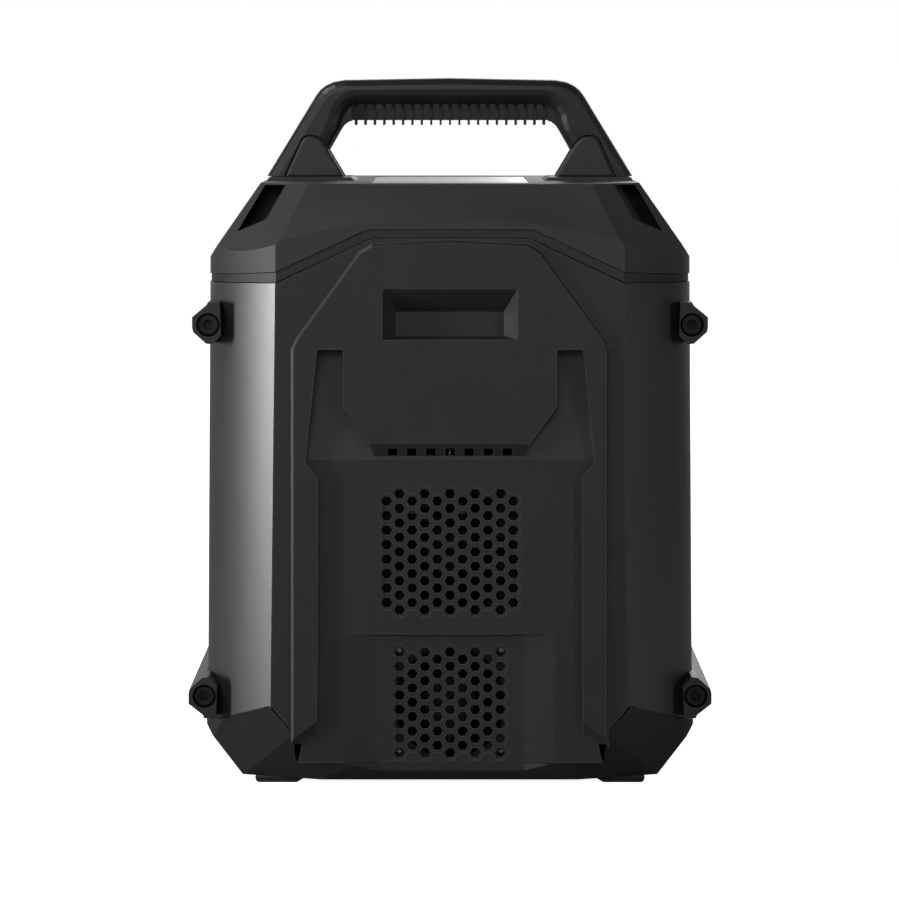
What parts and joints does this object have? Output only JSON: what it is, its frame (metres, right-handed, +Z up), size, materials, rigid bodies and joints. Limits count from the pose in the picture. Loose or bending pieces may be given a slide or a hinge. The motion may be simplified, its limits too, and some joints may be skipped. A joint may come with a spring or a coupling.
{
  "type": "portable power station",
  "caption": "Upright battery power station with carry handle, side rails, rear cooling grilles, outlet panel, hinged port covers and push buttons.",
  "frame": {"origin": "centre of the footprint, on the floor under the feet", "axes": "+Z up, +X to the right seen from the back, -Y the back with the cooling grilles, +Y the front with the outlets"},
  "size_m": [0.3192, 0.276, 0.4301],
  "materials": {
    "cap_plastic": "fine satin texture",
    "trim_plastic": "smooth satin",
    "shell_grain": "grained, slightly metallic dark grey",
    "panel_plastic": "fine texture",
    "front_plastic": "fine texture",
    "base_plastic": "fine texture",
    "foot_rubber": "matte",
    "rail_plastic": "satin",
    "black_screw": "black oxide",
    "plain_screw": "zinc plated",
    "handle_plastic": "satin",
    "grip_rubber": "ribbed matte",
    "pad_gloss": "glossy",
    "fan_plastic": "moulded",
    "cell_sleeve": "shrink sleeve",
    "holder_plastic": "moulded",
    "nickel_strip": "plain",
    "circuit_board": "solder mask",
    "shelf_metal": "zinc plated",
    "heatsink_metal": "extruded",
    "core_ferrite": "ferrite",
    "winding_tape": "taped winding",
    "capacitor_sleeve": "sleeve",
    "transistor_case": "moulded",
    "display_gloss": "glossy black",
    "button_plastic": "satin",
    "outlet_plastic": "satin",
    "contact_brass": "plain",
    "port_steel": "plated",
    "port_plastic": "moulded",
    "socket_metal": "plated",
    "cover_rubber": "matte",
    "light_diffuser": "frosted diffuser"
  },
  "bodies": {
    "housing": {"top_cap": "cap_plastic", "trim_ring": "trim_plastic", "left_side_shell": "shell_grain", "right_side_shell": "shell_grain", "rear_panel": "panel_plastic", "front_panel": "front_plastic", "base_tray": "base_plastic", "rubber_feet": "foot_rubber", "base_screws": "plain_screw", "upper_side_rails": "rail_plastic", "lower_side_rails": "rail_plastic", "rail_screws": "black_screw", "handle_bar": "handle_plastic", "handle_grip": "grip_rubber", "handle_bolts": "plain_screw", "top_pad": "pad_gloss", "upper_fan_frame": "fan_plastic", "lower_fan_frame": "fan_plastic", "fan_screws": "plain_screw", "battery_cells": "cell_sleeve", "cell_holders": "holder_plastic", "busbars": "nickel_strip", "battery_management_board": "circuit_board", "inverter_shelf": "shelf_metal", "shelf_standoffs": "plain_screw", "inverter_board": "circuit_board", "heatsinks": "heatsink_metal", "transformer_core": "core_ferrite", "transformer_winding": "winding_tape", "capacitors": "capacitor_sleeve", "power_transistors": "transistor_case", "display_lens": "display_gloss", "display_board": "circuit_board", "button_board": "circuit_board", "ac_outlets": "outlet_plastic", "outlet_contacts": "contact_brass", "usb_a_ports": "port_steel", "usb_c_ports": "port_steel", "port_board": "circuit_board", "dc_ports": "port_plastic", "car_socket": "socket_metal", "ac_inlet": "outlet_plastic", "inlet_pins": "contact_brass", "hinge_pins": "plain_screw", "light_lens": "light_diffuser", "light_board": "circuit_board"},
    "upper_fan_rotor": {"upper_fan_rotor": "fan_plastic"},
    "lower_fan_rotor": {"lower_fan_rotor": "fan_plastic"},
    "power_button": {"power_button": "button_plastic"},
    "ac_button": {"ac_button": "button_plastic"},
    "dc_button": {"dc_button": "button_plastic"},
    "light_button": {"light_button": "button_plastic"},
    "car_socket_cover": {"car_socket_cover": "cover_rubber"},
    "ac_inlet_cover": {"ac_inlet_cover": "cover_rubber"}
  },
  "joints": [
    {"name": "upper_fan_spin", "type": "hinge", "parent": "housing", "child": "upper_fan_rotor", "pos_m": [0, -0.112, 0.1452], "axis": [0, 1, 0], "continuous": true},
    {"name": "lower_fan_spin", "type": "hinge", "parent": "housing", "child": "lower_fan_rotor", "pos_m": [0, -0.112, 0.0527], "axis": [0, 1, 0], "continuous": true},
    {"name": "power_press", "type": "slide", "parent": "housing", "child": "power_button", "axis": [0, -1, 0], "range_m": [0, 0.0015], "stiffness_N_per_m": 500, "springref_m": -0.001},
    {"name": "ac_press", "type": "slide", "parent": "housing", "child": "ac_button", "axis": [0, -1, 0], "range_m": [0, 0.0015], "stiffness_N_per_m": 500, "springref_m": -0.001},
    {"name": "dc_press", "type": "slide", "parent": "housing", "child": "dc_button", "axis": [0, -1, 0], "range_m": [0, 0.0015], "stiffness_N_per_m": 500, "springref_m": -0.001},
    {"name": "light_press", "type": "slide", "parent": "housing", "child": "light_button", "axis": [0, -1, 0], "range_m": [0, 0.0015], "stiffness_N_per_m": 500, "springref_m": -0.001},
    {"name": "car_socket_cover_hinge", "type": "hinge", "parent": "housing", "child": "car_socket_cover", "pos_m": [-0.064, 0.138, 0.2241], "axis": [1, 0, 0], "range_deg": [0, 110]},
    {"name": "ac_inlet_cover_hinge", "type": "hinge", "parent": "housing", "child": "ac_inlet_cover", "pos_m": [-0.036, 0.138, 0.1276], "axis": [1, 0, 0], "range_deg": [0, 110]}
  ]
}
